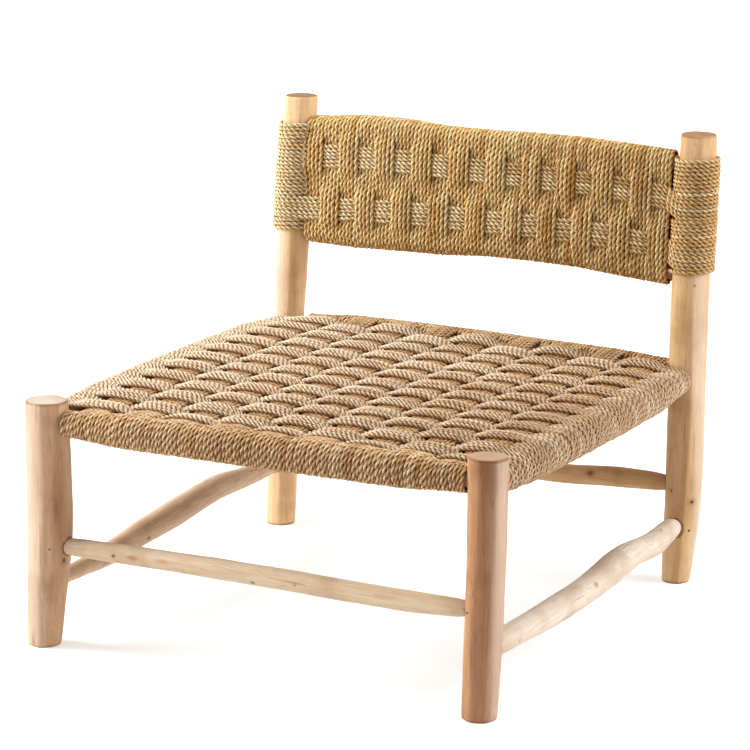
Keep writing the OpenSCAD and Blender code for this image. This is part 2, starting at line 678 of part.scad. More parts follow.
front_left_leg();
front_right_leg();
rear_left_post();
rear_right_post();
front_seat_rail();
rear_seat_rail();
left_seat_rail();
right_seat_rail();
front_stretcher();
rear_stretcher();
left_stretcher();
right_stretcher();
back_top_rail();
back_bottom_rail();
stretcher_nails();
seat_warp();
seat_weft();
front_rail_turns();
rear_rail_turns();
left_rail_turns();
right_rail_turns();
back_uprights();
back_upper_band();
back_lower_band();
left_post_wrap();
right_post_wrap();
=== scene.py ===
"""Looks of a low lounge chair of peeled branches with a woven rope seat and back."""
import math

import bpy
import numpy as np
from mathutils import Matrix, Vector


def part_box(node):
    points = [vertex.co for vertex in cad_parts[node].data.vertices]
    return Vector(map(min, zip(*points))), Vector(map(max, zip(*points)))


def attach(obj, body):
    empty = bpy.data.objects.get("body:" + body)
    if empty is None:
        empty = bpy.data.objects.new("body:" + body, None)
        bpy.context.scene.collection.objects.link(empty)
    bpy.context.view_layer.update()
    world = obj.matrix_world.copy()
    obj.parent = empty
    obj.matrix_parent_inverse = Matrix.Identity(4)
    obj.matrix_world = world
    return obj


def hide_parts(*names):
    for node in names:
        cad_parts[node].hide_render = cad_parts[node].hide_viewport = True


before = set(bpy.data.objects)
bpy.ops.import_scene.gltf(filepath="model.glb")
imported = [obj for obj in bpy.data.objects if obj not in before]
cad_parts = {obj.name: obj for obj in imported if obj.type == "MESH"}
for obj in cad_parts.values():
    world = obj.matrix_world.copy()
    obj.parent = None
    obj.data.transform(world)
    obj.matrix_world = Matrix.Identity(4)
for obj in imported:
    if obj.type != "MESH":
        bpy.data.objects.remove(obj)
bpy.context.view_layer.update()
scene = bpy.context.scene
mm = 0.001
rng = np.random.default_rng(11)


# Camera and light

camera_spot = Vector((1712.3, -3447.7, 1214.7)) * mm
camera_lens = 153.2
azimuth, elevation, roll = map(math.radians, (26.53, 13.36, 0.46))


def add_camera():
    """The photograph's view, from the front right and a little above."""
    flat = Vector((-math.sin(azimuth), math.cos(azimuth), 0))
    ahead = flat * math.cos(elevation) - Vector((0, 0, math.sin(elevation)))
    level = Vector((math.cos(azimuth), math.sin(azimuth), 0))
    above = level.cross(ahead)
    right = level * math.cos(roll) + above * math.sin(roll)
    up = above * math.cos(roll) - level * math.sin(roll)
    data = bpy.data.cameras.new("camera")
    data.lens = camera_lens
    data.clip_end = 50
    camera = bpy.data.objects.new("camera", data)
    turn = Matrix((right, up, -ahead)).transposed().to_4x4()
    camera.matrix_world = Matrix.Translation(camera_spot) @ turn
    scene.collection.objects.link(camera)
    scene.camera = camera


def add_lamp(name, place, aim, size, power):
    """A soft square lamp that faces a point."""
    data = bpy.data.lights.new(name, "AREA")
    data.size = size
    data.energy = power
    lamp = bpy.data.objects.new(name, data)
    lamp.location = place
    lamp.rotation_euler = (Vector(aim) - Vector(place)).to_track_quat("-Z", "Y").to_euler()
    scene.collection.objects.link(lamp)


# Materials

class Value:
    """A shader socket that adds Math nodes when it is used in a sum."""

    def __init__(self, graph, socket):
        self.graph = graph
        self.socket = socket

    def math(self, operation, *others):
        return self.graph.math(operation, self, *others)

    def __add__(self, other):
        return self.math("ADD", other)

    def __sub__(self, other):
        return self.math("SUBTRACT", other)

    def __rsub__(self, other):
        return self.graph.math("SUBTRACT", other, self)

    def __mul__(self, other):
        return self.math("MULTIPLY", other)

    def clip(self):
        return self.graph.node("ShaderNodeClamp", {}, {"Value": self})

    def step(self, low, high):
        """0 below low, 1 above high, and smooth between."""
        return self.graph.node("ShaderNodeMapRange", {"interpolation_type": "SMOOTHSTEP"},
                               {"Value": self, "From Min": low, "From Max": high})


class Graph:
    """The node tree of a new material or of the world."""

    def __init__(self, owner, shader="Principled BSDF"):
        self.owner = owner
        owner.use_nodes = True
        self.tree = owner.node_tree
        self.shader = self.tree.nodes[shader]

    def node(self, kind, settings, sockets, output=0):
        made = self.tree.nodes.new(kind)
        for key, value in settings.items():
            setattr(made, key, value)
        for key, value in sockets.items():
            self.join(made.inputs[key], value)
        return Value(self, made.outputs[output])

    def join(self, socket, value):
        """Links a socket to a value, or sets it to a number or a colour."""
        if isinstance(value, Value):
            self.tree.links.new(value.socket, socket)
        elif socket.type == "RGBA":
            socket.default_value = (*value, 1)
        else:
            socket.default_value = value

    def math(self, operation, *values):
        return self.node("ShaderNodeMath", {"operation": operation}, dict(enumerate(values)))

    def place(self):
        return self.node("ShaderNodeTexCoord", {}, {}, "Object")

    def along(self, axis):
        return self.node("ShaderNodeSeparateXYZ", {}, {"Vector": self.place()}, axis)

    def attribute(self, word, output="Fac"):
        return self.node("ShaderNodeAttribute", {"attribute_name": word}, {}, output)

    def mapped(self, vector, scale, shift=(0, 0, 0)):
        return self.node("ShaderNodeMapping", {}, {"Vector": vector, "Scale": scale, "Location": shift})

    def length(self, vector):
        return self.node("ShaderNodeVectorMath", {"operation": "LENGTH"}, {0: vector}, "Value")

    def ray(self, word):
        return self.node("ShaderNodeLightPath", {}, {}, "Is %s Ray" % word)

    def noise(self, vector, scale, detail, roughness=0.5):
        return self.node("ShaderNodeTexNoise", {}, {
            "Vector": vector, "Scale": scale, "Detail": detail, "Roughness": roughness})

    def blend(self, factor, first, second, kind="MIX"):
        """Mixes two colours, the Mix node's inputs 6 and 7."""
        return self.node("ShaderNodeMix", {"data_type": "RGBA", "blend_type": kind},
                         {0: factor, 6: first, 7: second}, 2)

    def set(self, values):
        """Sets the shader's sockets."""
        for name, value in values.items():
            self.join(self.shader.inputs[name], value)

    def finish(self, colour, roughness, bump, strength, depth, specular=0.5):
        normal = self.node("ShaderNodeBump", {}, {"Height": bump, "Strength": strength, "Distance": depth})
        self.set({"Base Color": colour, "Roughness": roughness, "Normal": normal,
                  "Specular IOR Level": specular})
        return self.owner


# Where a stain or a painted highlight starts and stops to fade in shares of its size, its colour and its
# mix. The paler patches on the side of a leg that faces a lamp are painted highlight.
stains_and_highlights = {
    "streak": (0.2, 1.4, (0.62, 0.50, 0.43), "MULTIPLY"),
    # Painted highlight: a paler patch on the side of a leg that faces a lamp
    "painted_lit_side": (0.4, 1.4, (0.84, 0.74, 0.65), "MIX"),
    "swirl": (0.3, 1.3, (0.55, 0.27, 0.12), "MIX"),
    "socket": (0.98, 1.14, (0.15, 0.06, 0.025), "MIX"),
}

# Browns of small places on the wood, and how much the wood shines
fleck_brown = (0.24, 0.11, 0.05)
knot_halo = (0.40, 0.19, 0.08)
knot_core = (0.13, 0.045, 0.018)
cut_brown = (0.42, 0.22, 0.11)
rim_brown = (0.26, 0.11, 0.05)
foot_brown = (0.22, 0.10, 0.045)
wood_shine = 0.12

# Growth rings of a cut end: radians of their wave per metre, and how far they wander
ring_wave = 2600
ring_wander = 3 * mm


def lay_marks(graph, marks, fine, colour, height):
    """Lays stains, painted highlights and knots on a wood's colour, and sinks the knots."""
    for kind, place, size, strength in marks:
        scale = [1 / s for s in size]
        shift = [-p * s for p, s in zip(place, scale)]
        far = graph.length(graph.mapped(graph.place(), scale, shift))
        far = far + (fine - 0.5) * 0.8
        if kind in stains_and_highlights:
            start, end, mark_colour, way = stains_and_highlights[kind]
            colour = graph.blend((1 - far.step(start, end)) * strength, colour, mark_colour, way)
            continue
        core = (1 - far.step(0.5, 1.05)) * strength
        halo = (1 - far.step(0.9, 2.4)) * (0.45 * strength)
        colour = graph.blend(halo, colour, knot_halo)
        colour = graph.blend(core, colour, knot_core)
        height = height - core * 0.8
    return colour, height


def lay_ends(graph, top, broad, patch, colour):
    """The sawn top of a leg with its rings and dark rim, and its darker foot. top
    is the (middle, radius, colour) of the sawn end."""
    (x, y, level), radius, cut = top
    up = graph.along("Z")
    out = graph.length(graph.mapped(graph.place(), (1, 1, 0), (-x, -y, 0)))
    rings = graph.math("SINE", (out + broad * ring_wander) * ring_wave)
    sawn = up.step(level - 1.0 * mm, level - 0.4 * mm)
    shaded = tuple(0.72 * c for c in cut)
    face = graph.blend(rings.step(-0.4, 1.0) * 0.35, cut, shaded)
    face = graph.blend(patch.step(0.45, 0.7) * 0.4, face, cut_brown)
    colour = graph.blend(sawn, colour, face)
    rim = up.step(level - 4.5 * mm, level - 2 * mm) * (1 - sawn) * patch.step(0.36, 0.60)
    edge = sawn * out.step(radius * 0.86, radius * 0.97) * patch.step(0.40, 0.62)
    colour = graph.blend((rim + edge).clip() * 0.75, colour, rim_brown)
    foot = 1 - up.step(1 * mm, 4 * mm)
    return graph.blend(foot * (patch.step(0.36, 0.6) * 0.5 + 0.3), colour, foot_brown)


def wood(name, axis, tint, top=None, marks=()):
    """Peeled branch wood with streaks along one axis and a sawn top. marks are
    places where the wood has another colour or a painted highlight: (kind, place,
    size along X, Y and Z, strength)."""
    pale, tan, deep = tint
    graph = Graph(bpy.data.materials.new(name))

    def streaks(across, along, detail, roughness):
        """Noise drawn out along the stick: its waves per metre across and along."""
        scale = [across] * 3
        scale[axis] = along
        return graph.noise(graph.mapped(graph.place(), scale), 1, detail, roughness)

    fine = streaks(330, 14, 4, 0.65)
    broad = streaks(70, 5, 3, 0.55)
    pores = streaks(858, 36.4, 2, 0.7)
    fleck = streaks(181.5, 7.7, 2, 0.5)
    patch = graph.noise(graph.place(), 16, 3)
    grain = (broad * 0.55 + fine * 0.45).step(0.36, 0.66)
    colour = graph.blend(grain, pale, tan)
    for place, shade in ((patch.step(0.46, 0.74) * 0.55, deep), (pores.step(0.55, 0.70) * 0.5, deep),
                         (fleck.step(0.65, 0.75) * 0.5, fleck_brown)):
        colour = graph.blend(place, colour, shade)
    colour, height = lay_marks(graph, marks, fine, colour, fine * 0.6 + pores * 0.4)
    if top:
        colour = lay_ends(graph, top, broad, patch, colour)
    return graph.finish(colour, broad * 0.2 + 0.42, height, 0.35, 0.35 * mm, wood_shine)


# Painted shade: what a rope's colour is multiplied with between its plies and beside the next rope
painted_ply_shade = (0.38, 0.22, 0.085)
painted_gap_shade = (0.40, 0.24, 0.10)


def rope_finish(name, rightward_shade, pale, warm, dark, crease_shade, inner=0):
    """Twisted palm or grass rope, whose mesh gives a shade, a hue, the depth between
    plies, the gap to the next rope and the place in the untwisted rope. drift is how
    much darker and browner it is painted per metre to the right, which is painted
    shade; creases how much painted shade darkens it between plies and beside the next
    rope; inner how much painted shade darkens and browns it inside the frame, where
    the warp lies deep in the weave."""
    graph = Graph(bpy.data.materials.new(name))
    shade, hue, depth, gap = map(graph.attribute, ("rope_shade", "rope_hue", "ply_depth", "rope_gap_shading"))
    grain = graph.attribute("rope_grain", "Vector")
    fibre = graph.noise(graph.mapped(grain, (1, 1, 0.16)), 1300, 2, 0.7)
    straw = graph.noise(graph.mapped(grain, (1, 1, 0.5)), 330, 2, 0.6)
    cloud = graph.noise(graph.place(), 28, 3, 0.6)
    colour = graph.blend(hue, pale, warm)
    # Random tone of each rope and place, and painted shade that darkens it towards the right
    tone_and_shade = (shade * 0.75 + cloud.step(0.3, 0.7) * 0.25 + graph.along("X") * rightward_shade).clip()
    for brown in (tone_and_shade.step(0.4, 1.0) * 0.7, straw.step(0.52, 0.72) * 0.55, fibre.step(0.5, 0.66) * 0.5):
        colour = graph.blend(brown, colour, dark)
    bright = tuple(1 - 0.75 * (1 - c) for c in pale)
    colour = graph.blend((1 - fibre.step(0.34, 0.46)) * 0.50, colour, bright)
    # Painted shade: inside the frame the rope is darker and browner, where the warp lies deep in the seat's
    # windows
    if inner:
        rail_side = graph.along("Y").math("ABSOLUTE").step(0.245, 0.285)
        colour = graph.blend((1 - rail_side) * inner, colour, dark)
    # Painted shade: darker and more saturated between the plies, and on the side of each rope that faces the
    # next rope and the sheet
    colour = graph.blend(depth.step(0, 0.85) * crease_shade[0], colour, painted_ply_shade, "MULTIPLY")
    colour = graph.blend(gap * crease_shade[1], colour, painted_gap_shade, "MULTIPLY")
    return graph.finish(colour, fibre * 0.25 + 0.60, fibre, 0.5, 0.25 * mm, 0)


def steel_finish():
    """Dull dark nail heads."""
    graph = Graph(bpy.data.materials.new("nail_head"))
    spots = graph.noise(graph.place(), 700, 2)
    colour = graph.blend(spots.step(0.4, 0.65), (0.10, 0.085, 0.075), (0.20, 0.13, 0.09))
    graph.set({"Metallic": 0.6})
    return graph.finish(colour, spots * 0.3 + 0.45, spots, 0.3, 0.3 * mm)


# Ropes

# Length of a full twist of each kind of rope, and between a rope's rings
rope_radius = 2.7 * mm
rope_lay = {"weft": 13 * mm, "warp": 18.5 * mm, "upright": 19 * mm, "band": 15.4 * mm}
ring_step = 2.4 * mm
hidden_step = 3.3 * mm

# How unevenly a rope is twisted, in radians, and how uneven its thickness is
twist_wander = 0.4
thickness_wander = 0.04


def two_plies(side, waist):
    """Section of two plies side by side, in shares of the rope's radius."""
    half = [(1.0, 0.0), (side, 0.66), (0.0, waist), (-side, 0.66)]
    return np.array(half + [(-u, -v) for u, v in half])


ply_section = two_plies(0.73, 0.50)
full_section = two_plies(0.76, 0.62)
hidden_section = np.array([(1.0, 0.0), (0.5, 0.62), (-0.5, 0.62), (-1.0, 0.0), (-0.5, -0.62), (0.5, -0.62)])


def ease(value):
    """0 up to 0, 1 from 1 on, and a smooth step between."""
    return 0.5 - 0.5 * np.cos(np.pi * np.clip(value, 0, 1))


def near(away, reach):
    """1 at a rail or place and 0 further away than reach."""
    return ease(1 - away / reach)


def wander(count, size, waves):
    """A smooth random line of that many points and about that size."""
    at = np.linspace(0, 2 * np.pi, count)
    line = np.zeros(count)
    for wave in waves:
        line += rng.normal() * np.sin(wave * at + rng.uniform(0, 2 * np.pi))
    return line * size / math.sqrt(len(waves))


def unit(vectors):
    return vectors / np.linalg.norm(vectors, axis=-1, keepdims=True)


def resample(path, step, closed):
    """The path cut into equal steps, and its length."""
    if closed:
        path = np.vstack([path, path[:1]])
    gone = np.concatenate([[0], np.cumsum(np.linalg.norm(np.diff(path, axis=0), axis=1))])
    count = max(int(round(gone[-1] / step)), 6)
    at = np.linspace(0, gone[-1], count + 1)
    even = np.stack([np.interp(at, gone, path[:, i]) for i in range(3)], 1)
    return (even[:-1] if closed else even), gone[-1]


class Ropes:
    """Collects two-ply ropes and makes one object of them."""

    def __init__(self):
        self.vertices, self.faces, self.grains = [], [], []
        self.values = {"rope_shade": [], "rope_hue": [], "ply_depth": [], "rope_gap_shading": []}
        self.count = 0

    def add(self, path, side, lay, closed=False, hidden=False, swell=None):
        """A rope along a path. The path's direction crossed with side points away
        from what the rope lies on. swell gives its thickness by the share of its length."""
        section = hidden_section if hidden else full_section if lay == "upright" else ply_section
        spots, length = resample(np.asarray(path, float), hidden_step if hidden else ring_step, closed)
        if closed:
            ahead = unit(np.roll(spots, -1, 0) - np.roll(spots, 1, 0))
        else:
            ahead = unit(np.gradient(spots, axis=0))
        out = unit(np.cross(ahead, np.broadcast_to(side, ahead.shape)))
        across = np.cross(ahead, out)
        rings = len(spots)
        turns = length / rope_lay[lay]
        if closed:
            turns = round(turns)
        share = np.arange(rings) / (rings if closed else rings - 1)
        start = rng.uniform(0, 2 * np.pi)
        angle = start + 2 * np.pi * turns * share + wander(rings, twist_wander, (2, 3, 5, 8))
        cosine, sine = np.cos(angle)[:, None], np.sin(angle)[:, None]
        u = section[:, 0] * cosine - section[:, 1] * sine
        v = section[:, 0] * sine + section[:, 1] * cosine
        thick = swell(share) if swell else 1
        size = (thick * rope_radius * (1 + wander(rings, thickness_wander, (3, 5, 9, 14))))[:, None, None]
        points = spots[:, None] + size * (u[..., None] * out[:, None] + v[..., None] * across[:, None])
        sides = len(section)
        ring = np.arange(rings if closed else rings - 1)[:, None]
        edge = np.arange(sides)[None]
        here, there = ring * sides, (ring + 1) % rings * sides
        after = (edge + 1) % sides
        quads = np.stack([here + edge, here + after, there + after, there + edge], -1).reshape(-1, 4)
        if not closed:
            last = (rings - 1) * sides
            ends = np.array([(0, k + 3, k + 2, k + 1) for k in range(0, sides - 2, 2)])
            quads = np.vstack([quads, ends, ends[:, ::-1] + last])
        self.faces.append(quads + self.count)
        self.vertices.append(points.reshape(-1, 3))
        shade = rng.uniform(0, 1) + wander(rings, 0.10, (2, 4, 7))
        hue = rng.beta(1.6, 1.9) + wander(rings, 0.12, (1, 3, 6))
        # How deep each point lies between the plies, and how far it faces into the sheet: there the material
        # paints shade
        away = np.linalg.norm(section, axis=1)
        depth = (away.max() - away) / (away.max() - away.min())
        self.values["rope_shade"].append(np.repeat(np.clip(shade, 0, 1), sides))
        self.values["rope_hue"].append(np.repeat(np.clip(hue, 0, 1), sides))
        self.values["ply_depth"].append(np.tile(depth, rings))
        self.values["rope_gap_shading"].append(ease((0.5 - u) / 0.8).reshape(-1))
        grain = np.empty((rings, sides, 3))
        grain[..., :2] = section * rope_radius
        grain[..., 2] = (rng.uniform(0, 3) + share * length)[:, None]
        self.grains.append(grain.reshape(-1, 3))
        self.count += rings * sides

    def build(self, name, material, slot, nodes):
        mesh = bpy.data.meshes.new(name)
        mesh.from_pydata(np.vstack(self.vertices), [], np.vstack(self.faces))
        for attribute, values in self.values.items():
            layer = mesh.attributes.new(attribute, "FLOAT", "POINT")
            layer.data.foreach_set("value", np.concatenate(values).astype(np.float32))
        layer = mesh.attributes.new("rope_grain", "FLOAT_VECTOR", "POINT")
        layer.data.foreach_set("vector", np.vstack(self.grains).astype(np.float32).ravel())
        mesh.shade_smooth()
        mesh.materials.append(material)
        piece = bpy.data.objects.new(name, mesh)
        scene.collection.objects.link(piece)
        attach(piece, "root")
        if nodes:
            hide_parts(*nodes)


# Measures of the frame

class Rail:
    """Axis and radius of a straight CAD rail, from its box."""

    def __init__(self, node, axis):
        low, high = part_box(node)
        self.node, self.axis, self.low, self.high = node, axis, low, high
        self.radius = min(high[i] - low[i] for i in range(3) if i != axis) / 2
        self.middle = (low + high) / 2


# How far a ring's points may lie off a circle
fit_error = 0.15 * mm


def ring_list(node, axis, sides, least):
    """Middle and radius of each ring of a CAD stick that is thicker than least."""
    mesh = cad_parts[node].data
    points = np.empty(len(mesh.vertices) * 3, np.float32)
    mesh.vertices.foreach_get("co", points)
    points = np.unique(points.reshape(-1, 3).astype(float).round(6), axis=0)
    places = points[:, axis].round(4)
    across = [i for i in range(3) if i != axis]
    enough = sides * 0.6
    rings = []
    for place in np.unique(places):
        ring = points[places == place][:, across]
        for attempt in range(3):
            if len(ring) < enough:
                break
            system = np.column_stack([2 * ring, np.ones(len(ring))])
            fit = np.linalg.lstsq(system, (ring ** 2).sum(1), rcond=None)[0]
            radius = math.sqrt(max(fit[2] + fit[0] ** 2 + fit[1] ** 2, 0))
            off = np.abs(np.linalg.norm(ring - fit[:2], axis=1) - radius)
            if off.max() < fit_error:
                break
            ring = ring[off < max(fit_error, np.median(off))]
        else:
            continue
        if len(ring) < enough or radius <= least:
            continue
        middle = np.zeros(3)
        middle[axis] = place
        middle[across[0]], middle[across[1]] = fit[0], fit[1]
        rings.append((middle, radius))
    return rings


front_rail = Rail("front_seat_rail", 0)
rear_rail = Rail("rear_seat_rail", 0)
left_rail = Rail("left_seat_rail", 1)
right_rail = Rail("right_seat_rail", 1)
y_front, y_rear = front_rail.middle[1], rear_rail.middle[1]
x_left, x_right = left_rail.middle[0], right_rail.middle[0]
z_cross = front_rail.middle[2]
free_x = [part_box("front_rail_turns")[i][0] for i in (0, 1)]
free_y = [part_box("left_rail_turns")[i][1] for i in (0, 1)]


# Seat

# Warp groups run from front to rear in columns, weft groups across in rows
columns, rows = 9, 21
warp_ropes, weft_ropes = 7, 5
seat_pitch = 5.0 * mm
column_x = np.linspace(free_x[0] + 31 * mm, free_x[1] - 17 * mm, columns)
row_pitch = (free_y[1] - free_y[0]) / rows
row_y = free_y[0] + row_pitch * (np.arange(rows) + 0.5)

# How far the middle rows are pushed forward, how far ropes spread on top, how high
# groups rise at crossings and their middle ropes more, and how unevenly they lie
packing = 8 * mm
spreading = 1.0 * mm
weft_lift, warp_lift, under_lift = 4.5 * mm, 0.3 * mm, 2.5 * mm
crown = 1.6 * mm
weft_flatness = 1.4
slack = 0.25 * mm

# From a rail's axis to the middle of its rope, and how much less at the rail's ends.
# How far the seat sags, and how far from a rail it starts to bend to it.
cover = front_rail.radius + 0.2 * mm + rope_radius
cross_taper, cross_reach = 4.5 * mm, 90 * mm
side_taper, side_reach = 5.5 * mm, 110 * mm
sag = 1.5 * mm
settle = 58 * mm
rear_settle = 105 * mm
side_settle = 45 * mm

# Heights of naturally bent rails above a straight one, in mm, at even steps
left_bends = (1, -1, 2, 1.5, 1.5, 0.5)
right_bends = (2, 3, 0.5, -1.5, -1.5, 0)
rear_bends = (0, 0, 0, -1, -3, -4.5, -4.5)


def bend_at(share, bends):
    """How far a naturally bent rail lies above its straight axis."""
    return np.interp(share, np.linspace(0, 1, len(bends)), bends) * mm


def end_taper(at, ends, reach):
    """1 at both ends of a rail and 0 further in than reach."""
    return near(at - ends[0], reach) + near(ends[1] - at, reach)


def cross_radius(x):
    """From the front or rear rail's axis to the middle of the rope on it."""
    return cover - cross_taper * end_taper(x, free_x, cross_reach)


def side_radius(y):
    """The same for a side rail."""
    return cover - side_taper * end_taper(y, free_y, side_reach)


def side_axis(rail, y):
    """Height of a side rail's axis, as it is bent."""
    share = (y - free_y[0]) / (free_y[1] - free_y[0])
    return rail.middle[2] + bend_at(share, left_bends if rail is left_rail else right_bends)


def cross_axis(x, y):
    """Height of the front or rear rail's axis. The rear one dips to the right."""
    share = (x - free_x[0]) / (free_x[1] - free_x[0])
    return z_cross + np.where(np.asarray(y) > 0, bend_at(share, rear_bends), 0)


def sheet_height(x, y, upper):
    """Middle height of the woven sheet, which spans the side rails and bends to
    the front and rear rails."""
    sign = 1 if upper else -1
    share = (x - x_left) / (x_right - x_left)
    left = side_axis(left_rail, y) + sign * side_radius(y)
    right = side_axis(right_rail, y) + sign * side_radius(y)
    flat = left + (right - left) * share - sign * sag * np.sin(np.pi * np.clip(share, 0, 1))
    at_cross = cross_axis(x, y) + sign * cross_radius(x)
    pull = np.maximum(near(y - y_front, settle), near(y_rear - y, rear_settle))
    pull = pull * ease(np.minimum(x - x_left, x_right - x) / side_settle)
    return flat + (at_cross - flat) * pull


def square_wave(value, flatness=1.9):
    """A cosine with flat crests."""
    return np.tanh(flatness * np.cos(np.pi * value)) / math.tanh(flatness)


full_turn = np.radians(np.arange(0, 360, 8))


def half_turn(first, last, steps=14):
    return np.radians(np.linspace(first, last, steps))


def uneven(count, size):
    return wander(count, size, (2, 3, 5, 8))


def row_shift(row):
    """How far a row lies in front of its even place."""
    return packing * np.sin(np.pi * (row + 1) / (rows + 1)) ** 0.5


def weft_path(row, k, upper):
    """One rope across the seat, over or under each column."""
    sign = 1 if upper else -1
    x = np.linspace(x_left, x_right, 420)
    away = np.minimum(x - x_left, x_right - x)
    step = column_x[1] - column_x[0]
    places = np.concatenate([[column_x[0] - 1.5 * step], column_x, [column_x[-1] + 1.5 * step]])
    column = np.interp(x, places, np.arange(-1, columns + 1))
    wave = square_wave(column + row, weft_flatness) * ease(away / (40 * mm))
    middle = k - (weft_ropes - 1) / 2
    edge = near(away, side_settle)
    pitch = seat_pitch + spreading * wave
    pitch = pitch + (row_pitch / weft_ropes - pitch) * edge
    y = row_y[row] - row_shift(row) * (1 - edge) + middle * pitch + uneven(len(x), slack)
    lift = weft_lift if upper else under_lift
    hump = crown * (1 - (middle / 2) ** 2) * np.clip(wave, 0, 1)
    z = sheet_height(x, y, upper) + sign * (lift * wave + hump) + uneven(len(x), slack)
    return np.column_stack([x, y, z])


def weft_loop(row, k):
    """The top run with its bends round both side rails."""
    run = weft_path(row, k, True)
    parts = []
    for end, rail, turn in ((0, left_rail, half_turn(268, 94)), (-1, right_rail, half_turn(86, -88))):
        y = run[end, 1]
        radius = side_radius(y) + rng.normal() * 0.35 * mm
        lean = rng.normal() * 0.6 * mm * np.sin(2 * turn)
        parts.append(np.column_stack([
            rail.middle[0] + radius * np.cos(turn), y + lean, side_axis(rail, y) + radius * np.sin(turn)]))
    return np.vstack([parts[0], run, parts[1]])


def warp_path(column, k, upper):
    """One rope from front to rear, over or under each row."""
    sign = 1 if upper else -1
    y = np.linspace(y_front, y_rear, 460)
    row = np.interp(y, row_y - row_shift(np.arange(rows)), np.arange(rows))
    away = np.minimum(y - y_front, y_rear - y)
    wave = -square_wave(row + column) * ease(away / (24 * mm))
    middle = k - (warp_ropes - 1) / 2
    x = column_x[column] + middle * (seat_pitch - 0.25 * mm * wave) + uneven(len(y), slack)
    lift = warp_lift if upper else under_lift
    beside_rail = near(away - 30 * mm, 40 * mm)
    hump = crown * np.clip(wave, 0, 1) * beside_rail * (1 - (middle / 3.5) ** 2)
    round_off = 0.13 * mm * middle ** 2
    height = lift * wave + hump - round_off
    z = sheet_height(x, y, upper) + sign * height + uneven(len(y), 0.2 * mm)
    return np.column_stack([x, y, z])


def cross_bend(x, y, turn, radius, lean):
    """A bend of rope round the front or rear rail, leaning along it."""
    return np.column_stack([x + lean, y + radius * np.cos(turn), cross_axis(x, y) + radius * np.sin(turn)])


def warp_loop(column, k):
    """The top run with its bends round the front and rear rails."""
    run = warp_path(column, k, True)
    parts = []
    for end, y, turn in ((0, y_front, half_turn(268, 96)), (-1, y_rear, half_turn(84, -88))):
        x = run[end, 0]
        lean = rng.normal() * 0.4 * mm * np.sin(2 * turn)
        parts.append(cross_bend(x, y, turn, cross_radius(x), lean))
    return np.vstack([parts[0], run, parts[1]])


def rail_ring(x, y):
    """One turn of rope round the front or rear rail."""
    radius = cross_radius(x) + rng.normal() * 0.2 * mm
    return cross_bend(x, y, full_turn, radius, 0.7 * mm * np.sin(full_turn))


def weave_seat():
    weft = rope_finish("weft_rope", 1.4, (0.97, 0.84, 0.66), (0.83, 0.62, 0.41), (0.47, 0.265, 0.115),
                       (0.9, 0.55))
    warp = rope_finish("warp_rope", 0.3, (0.96, 0.74, 0.47), (0.76, 0.475, 0.225), (0.46, 0.225, 0.075),
                       (0.9, 0.65), 0.5)
    weft_nodes = ["seat_weft", "left_rail_turns", "right_rail_turns"]
    for kind, finish, side, loop, run, count, nodes, parts in (
            ("weft", weft, np.array((0, 1, 0)), weft_loop, weft_path, weft_ropes, weft_nodes,
             ((0, 7, "front"), (7, 14, "middle"), (14, 21, "rear"))),
            ("warp", warp, np.array((-1, 0, 0)), warp_loop, warp_path, warp_ropes, ["seat_warp"],
             ((0, 5, "left"), (5, 9, "right")))):
        for first, last, word in parts:
            above, below = Ropes(), Ropes()
            for group in range(first, last):
                for k in range(count):
                    above.add(loop(group, k), side, kind)
                    below.add(run(group, k, False), -side, kind, hidden=True)
            above.build("seat_%s_%s" % (kind, word), finish, kind + "_rope", nodes)
            below.build("seat_%s_under_%s" % (kind, word), finish, kind + "_rope", [])
            nodes = []
    half = (warp_ropes / 2) * seat_pitch
    edges = [free_x[0]] + [x + s * half for x in column_x for s in (-1, 1)] + [free_x[1] + 4 * mm]
    for y, node in ((y_front, "front_rail_turns"), (y_rear, "rear_rail_turns")):
        turns = Ropes()
        for low, high in zip(edges[::2], edges[1::2]):
            count = max(round((high - low) / (5.2 * mm)), 0)
            for i in range(count):
                spot = low + (high - low) * (i + 0.5) / count
                turns.add(rail_ring(spot, y), (1, 0, 0), "warp", closed=True)
        turns.build(node.replace("_turns", "_winding"), warp, "warp_rope", [node])


# Back

back_top = Rail("back_top_rail", 0)
back_bottom = Rail("back_bottom_rail", 0)
panel_x = [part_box("back_uprights")[i][0] for i in (0, 1)]
panel_width = panel_x[1] - panel_x[0]
back_groups, group_ropes = 20, 5
back_cover = back_top.radius + 0.2 * mm + rope_radius

# Heights of the bands' middles from left to right, in mm, and how much lower a band
# goes round the post
upper_band = (512, 515.5, 514, 512, 510, 507.5, 500)
lower_band = (441.5, 445.5, 447, 446, 446, 443.5, 436)
band_drop = {"left": 0, "right": 11 * mm}
band_ropes = 6
band_pitch = 5.05 * mm
band_wave = 2.2 * mm

# How far some groups lie to the right and how far the rails bend up, in mm
group_places = (0, 4, 8, 11, 15, 19)
group_shifts = (-9.5, -6, 1, 3.5, -1.5, 3)
top_bends = (-5, 1.5, 2.5, -2, -1.5, 0.5, 1, -1, -4)
bottom_bends = (-3, -4, -1.5, 0, 5, 6, 5, 0, -4)

# How far uprights bulge where they pass over and under a band, and on the rear
over_bulge, under_bulge, rear_bulge = 5.0 * mm, 2.4 * mm, 2.6 * mm

# Bottom and top of the windings on the rear posts
windings = (("left", 0, 410 * mm, 554 * mm), ("right", -1, 405 * mm, 551 * mm))
winding_pitch = 5.15 * mm


def back_share(x):
    """How far across the back a place lies, from 0 at its left edge to 1."""
    return (x - panel_x[0]) / panel_width


def rail_point(rail, x, bends):
    """A point on the axis of the back's top or bottom rail."""
    share = back_share(x)
    left = rail.high[2] - rail.radius
    right = rail.low[2] + rail.radius
    return np.array([x, rail.middle[1], left + (right - left) * share + bend_at(share, bends)])


